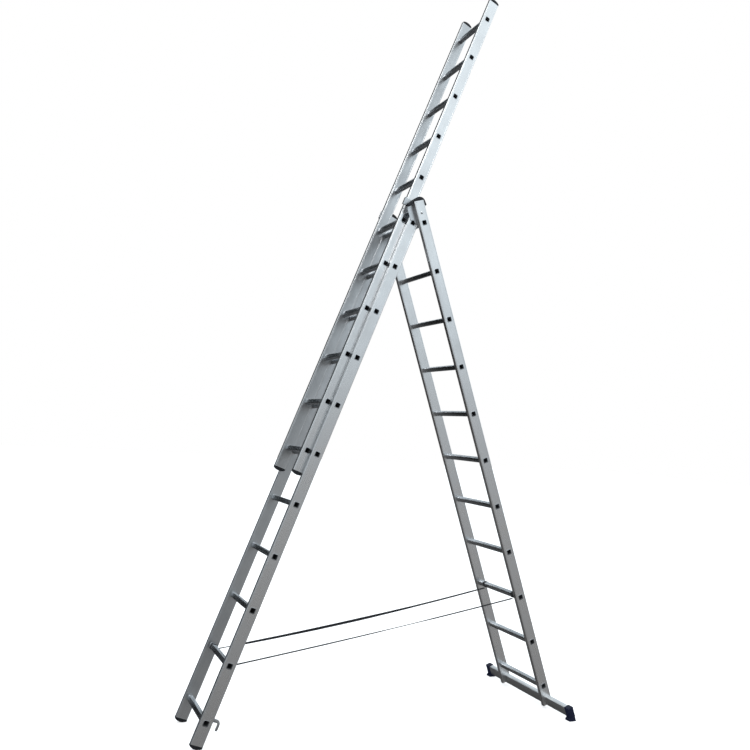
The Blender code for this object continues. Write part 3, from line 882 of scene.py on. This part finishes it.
def add_guide_details():
    """Rivets in the guide brackets, latch plates, and black pads on the middle stiles that put a
    painted shadow at the seam by each rung level.
    """
    for side, sign in SIDES.items():
        rivets = [button(x, z, sign * GUIDE_INNER, -sign, dome(*GUIDE_RIVET_HEAD), 16)
                  for x, z in GUIDE_RIVETS]
        mesh = mesh_from(rivets)
        shade(mesh, 45.0)
        add_piece(f"guide_rivets_{side}", mesh, MATERIAL["dark steel and painted shade"], BODY["middle"],
                  (), MATRIX["middle"])

        outline = [(-forward, -below) for forward, below in LATCH_OUTLINE]
        plate = mesh_from([slab(outline, *mirrored_ends(side, *LATCH_SPAN), LATCH_ROUNDING)])
        through = mirrored_ends(side, LATCH_SPAN[0] - CUT_PAST, LATCH_SPAN[1] + CUT_PAST)
        window = block(LATCH_WINDOW[0], through, LATCH_WINDOW[1], 0.003)
        mesh = cut(plate, [window])
        shade(mesh, 35.0, flat_axes=True)
        add_piece(f"latch_plate_{side}", mesh, MATERIAL["dark steel and painted shade"], BODY["middle"],
                  (), MATRIX["middle"])

        # black pads at the seam: painted shadow beside each shared rung level
        pads = []
        ends = mirrored_ends(side, PAD_INNER, INNER["middle"] - PAD_GAP)
        for level in range(PAD_COUNT):
            outline = rounded_rectangle(*PAD_SIZE, 3, (-PAD_FORWARD, -level * PITCH))
            pads.append(slab(outline, *ends, PAD_ROUNDING))
        mesh = mesh_from(pads)
        shade(mesh, 40.0)
        add_piece(f"painted_shadow_pads_{side}", mesh, MATERIAL["black"], BODY["middle"],
                  (), MATRIX["middle"])


def add_hook(section):
    """A bent steel hook on the near stile, with its two rivets."""
    lower = HOOK_LOWER[section]
    back = [(forward, below + lower) for forward, below in HOOK_BACK]
    throat = [(forward, below + lower) for forward, below in HOOK_THROAT]
    bend = [(HOOK_HEEL, HOOK_TOP)] + smooth_line([(HOOK_BEND, HOOK_TOP)] + back + HOOK_TIP, 4)
    inside = smooth_line(HOOK_POINT + throat + [(HOOK_BEND, HOOK_UNDER)], 4)
    inside.append((HOOK_HEEL, HOOK_UNDER))
    outline = [(-forward, -below) for forward, below in bend + inside]
    face = -(INNER[section] - HOOK_GAP)
    rivets = [button(x, z, face + HOOK_THICK, 1, dome(*HOOK_RIVET_HEAD), 20)
              for x, z in HOOK_RIVETS]
    mesh = mesh_from([slab(outline, face, face + HOOK_THICK, HOOK_ROUNDING)] + rivets)
    shade(mesh, 40.0)
    add_piece(f"{section}_rung_hook", mesh, MATERIAL["zinc"], BODY[section],
              [f"{section}_hook"], MATRIX[section])


# ---------------------------------------------------------------- stabiliser

def add_bar():
    mid = (BAR_DEPTH / 2, -BAR_TOP - BAR_HEIGHT / 2)
    outer = rounded_rectangle(BAR_DEPTH, BAR_HEIGHT, BAR_ROUND, 4, mid)
    inner = rounded_rectangle(BAR_DEPTH - 2 * BAR_WALL, BAR_HEIGHT - 2 * BAR_WALL,
                              BAR_BORE_ROUND, 4, mid)
    rings = [[(x, y, z) for x, z in outline]
             for outline, y in ((outer, -BAR_HALF_LENGTH), (outer, BAR_HALF_LENGTH),
                                (inner, BAR_HALF_LENGTH), (inner, -BAR_HALF_LENGTH))]
    mesh = mesh_from([loft(rings, closed=True)])
    shade(mesh, 35.0, flat_axes=True)
    add_piece("stabiliser_tube", mesh, MATERIAL["bar"], BODY["rear"],
              ["stabiliser_bar"], MATRIX["rear"])
    heads = []
    for sign in SIDES.values():
        middle = sign * (OUTER["rear"] - STILE_THICK / 2)
        turns = [tau * i / BAR_BOLT_SIDES for i in range(BAR_BOLT_SIDES)]
        for drop in BAR_BOLT_DROPS:
            rings = [[(BAR_DEPTH + height, middle + radius * cos(turn),
                       -BAR_TOP - drop + radius * sin(turn)) for turn in turns]
                     for radius, height in dome(*BAR_BOLT_HEAD)]
            heads.append(loft(rings))
    mesh = mesh_from(heads)
    shade(mesh, 45.0)
    add_piece("stabiliser_bolts", mesh, MATERIAL["bolt"], BODY["rear"], (),
              MATRIX["rear"])


def foot_rings(side):
    """Rings of a stabiliser foot from its level sole up to the collar round the bar."""
    sign = SIDES[side]
    place = MATRIX["rear"]
    low = -BAR_TOP - BAR_HEIGHT
    sole_middle = (place @ Vector((BAR_DEPTH / 2, 0.0, low))).x
    rings = []
    width_middle = sign * (FOOT_INNER + FOOT_OUTER) / 2
    for height, front, rear, inward, outward in FOOT_BASE:
        outline = rounded_rectangle(front + rear, FOOT_OUTER - FOOT_INNER - inward - outward,
                                    FOOT_ROUND["base"], 4,
                                    ((rear - front) / 2,
                                     width_middle + sign * (inward - outward) / 2))
        rings.append([Vector((sole_middle + x, y, height)) for x, y in outline])
    for height, grow, inward, outward in FOOT_COLLAR:
        depth = BAR_DEPTH + 2 * (FOOT_WALL + grow)
        outline = rounded_rectangle(depth, FOOT_OUTER - FOOT_INNER - inward - outward,
                                    FOOT_ROUND["collar"], 4,
                                    (BAR_DEPTH / 2,
                                     width_middle + sign * (inward - outward) / 2))
        rings.append([place @ Vector((x, y, low + height)) for x, y in outline])
    return rings


def add_foot(side):
    socket = block((-CAP_GAP, BAR_DEPTH + CAP_GAP),
                   mirrored_ends(side, FOOT_INNER - CUT_PAST, BAR_HALF_LENGTH + CAP_GAP),
                   (-BAR_TOP - BAR_HEIGHT - CAP_GAP, -BAR_TOP + CAP_GAP), BAR_ROUND)
    socket.transform(MATRIX["rear"])
    mesh = cut(mesh_from([loft(foot_rings(side))]), [socket])
    shade(mesh, 38.0)
    add_piece(f"stabiliser_shoe_{side}", mesh, MATERIAL["navy"], BODY["rear"],
              [f"stabiliser_foot_{side}"])


# ---------------------------------------------------------------- strap loops

def add_loops():
    """Tape looped round the rungs that the straps start and end at."""
    for section, number in LOOP_RUNGS:
        size = 2 * (RUNG_HALF + LOOP_LIFT)
        outline = rounded_rectangle(size, size, RUNG_ROUND + LOOP_LIFT, 4)
        for side, sign in SIDES.items():
            line = [Vector((x, sign * STRAP_CENTRE, z)) for x, z in outline]
            rings = tape_rings(line, [0.0] * len(line), STRAP_WIDTH, LOOP_THICK, closed=True)
            mesh = mesh_from([loft(rings, closed=True)])
            shade(mesh, 60.0)
            matrix = MATRIX[section] @ Matrix.Translation((0, 0, -(RUNG_COUNT - number) * PITCH))
            add_piece(f"{section}_strap_loop_{side}", mesh, MATERIAL["webbing"], BODY[section],
                      (), matrix)


# ---------------------------------------------------------------- stage

def add_stage():
    floor_mesh = bpy.data.meshes.new("floor")
    corners = [(x * FLOOR_HALF, y * FLOOR_HALF, 0.0)
               for x, y in ((-1, -1), (1, -1), (1, 1), (-1, 1))]
    floor_mesh.from_pydata(corners, [], [(0, 1, 2, 3)])
    floor = bpy.data.objects.new("floor", floor_mesh)
    floor.location.z = -FLOOR_DROP
    bpy.context.scene.collection.objects.link(floor)
    material, tree, shader = new_material("pale_floor")
    grain = noise(tree, coordinates(tree), 3.0, 4.0)
    tree.links.new(blend_colours(tree, grain, (0.86, 0.86, 0.86), (0.88, 0.88, 0.88)),
                   shader.inputs["Base Color"])
    shader.inputs["Roughness"].default_value = 0.9
    shader.inputs["Specular IOR Level"].default_value = 0.1
    shader.inputs["Emission Color"].default_value = (1.0, 1.0, 1.0, 1.0)
    shader.inputs["Emission Strength"].default_value = FLOOR_GLOW
    floor_mesh.materials.append(material)
    floor.visible_glossy = False

    key = bpy.data.lights.new("key", "AREA")
    key.shape = "RECTANGLE"
    key.size, key.size_y = KEY_SIZE
    key.energy = KEY_POWER
    lamp = bpy.data.objects.new("key", key)
    lamp.location = KEY_PLACE
    aim = Vector(KEY_AIM) - Vector(KEY_PLACE)
    lamp.rotation_euler = aim.to_track_quat("-Z", "Y").to_euler()
    bpy.context.scene.collection.objects.link(lamp)


def dark_flag(tree, parts, colour, azimuth, edge, core, depth):
    """A tall dark flag, which the narrow front faces and rounded edges reflect."""
    level = tree.nodes.new("ShaderNodeCombineXYZ")
    tree.links.new(parts.outputs["X"], level.inputs["X"])
    tree.links.new(parts.outputs["Y"], level.inputs["Y"])
    unit = tree.nodes.new("ShaderNodeVectorMath")
    unit.operation = "NORMALIZE"
    tree.links.new(level.outputs[0], unit.inputs[0])
    toward = tree.nodes.new("ShaderNodeVectorMath")
    toward.operation = "DOT_PRODUCT"
    toward.inputs[1].default_value = (cos(azimuth), sin(azimuth), 0.0)
    tree.links.new(unit.outputs[0], toward.inputs[0])
    across = remap(tree, toward.outputs["Value"], edge, core, 0.0, 1.0)
    height = remap(tree, parts.outputs["Z"], *FLAG_TOP, 1.0, 0.0)
    foot = remap(tree, parts.outputs["Z"], *FLAG_FOOT, FLAG_FOOT_SHARE, 1.0)
    body = combine(tree, combine(tree, height, foot, "MULTIPLY"), across, "MULTIPLY")
    kept = combine(tree, body, -depth, "MULTIPLY")
    scale = tree.nodes.new("ShaderNodeVectorMath")
    scale.operation = "SCALE"
    tree.links.new(colour, scale.inputs[0])
    tree.links.new(combine(tree, kept, 1.0), scale.inputs["Scale"])
    return scale.outputs[0]


def add_world():
    """White to the eye; in reflections bright above, mid grey at eye level, dark below."""
    world = bpy.data.worlds.new("studio")
    bpy.context.scene.world = world
    world.use_nodes = True
    tree = world.node_tree
    tree.nodes.clear()
    output = tree.nodes.new("ShaderNodeOutputWorld")
    mix = tree.nodes.new("ShaderNodeMixShader")
    path = tree.nodes.new("ShaderNodeLightPath")
    seen = tree.nodes.new("ShaderNodeBackground")
    seen.inputs["Color"].default_value = (1.0, 1.0, 1.0, 1.0)
    studio = tree.nodes.new("ShaderNodeBackground")
    source = tree.nodes.new("ShaderNodeTexCoord")
    parts = tree.nodes.new("ShaderNodeSeparateXYZ")
    ramp = tree.nodes.new("ShaderNodeValToRGB")
    tree.links.new(source.outputs["Generated"], parts.inputs[0])
    tree.links.new(remap(tree, parts.outputs["Z"], -1.0, 1.0, 0.0, 1.0), ramp.inputs[0])
    elements = ramp.color_ramp.elements
    while len(elements) < len(STUDIO):
        elements.new(0.5)
    for element, (height, colour) in zip(elements, STUDIO):
        element.position = (sin(radians(height)) + 1) / 2
        element.color = (*colour, 1.0)
    colour = ramp.outputs["Color"]
    for flag in FLAGS:
        colour = dark_flag(tree, parts, colour, *flag)
    tree.links.new(colour, studio.inputs["Color"])
    tree.links.new(path.outputs["Is Camera Ray"], mix.inputs[0])
    tree.links.new(studio.outputs[0], mix.inputs[1])
    tree.links.new(seen.outputs[0], mix.inputs[2])
    tree.links.new(mix.outputs[0], output.inputs["Surface"])


def paint_shade_on_bracket_faces(node, section):
    """Painted shade on a bracket: its forward-facing and downward-facing faces get the dark steel.
    """
    node.data.materials.append(MATERIAL["dark steel and painted shade"])
    turn = MATRIX[section].to_3x3().transposed() @ node.matrix_world.to_3x3()
    for polygon in node.data.polygons:
        normal = (turn @ polygon.normal).normalized()
        if normal.x < -0.9 or normal.z < -0.9:
            polygon.material_index = 1


def finish_materials():
    """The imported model's own nodes, as far as no visual piece replaces them."""
    for name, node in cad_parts.items():
        section = next((item for item in SECTIONS if name.startswith(item)), "rear")
        if "stile" in name:
            use = MATERIAL["rear stile" if section == "rear" else "front stile"]
        elif "rung" in name:
            use = MATERIAL["rung"]
        elif "cap" in name:
            use = MATERIAL["black"]
        elif "foot" in name:
            use = MATERIAL["navy"]
        elif "strap" in name:
            use = MATERIAL["webbing"]
        elif name == "stabiliser_bar":
            use = MATERIAL["bar"]
        else:
            use = MATERIAL["zinc"]
        node.data.materials.clear()
        node.data.materials.append(use)
        # painted shade on the guide brackets' forward and downward faces
        if "guide" in name:
            paint_shade_on_bracket_faces(node, section)


add_camera()
for strap_side in SIDES:
    add_strap(strap_side)
for section_name in SECTIONS:
    add_rungs(section_name)
    for stile_side in SIDES:
        add_stile(section_name, stile_side)
for section_name in ("middle", "top"):
    add_caps(section_name)
    add_hook(section_name)
add_rear_caps()
add_hinge_details()
add_guide_details()
add_bar()
for foot_side in SIDES:
    add_foot(foot_side)
add_loops()
finish_materials()
add_stage()
add_world()
bpy.context.scene.view_settings.view_transform = "Standard"
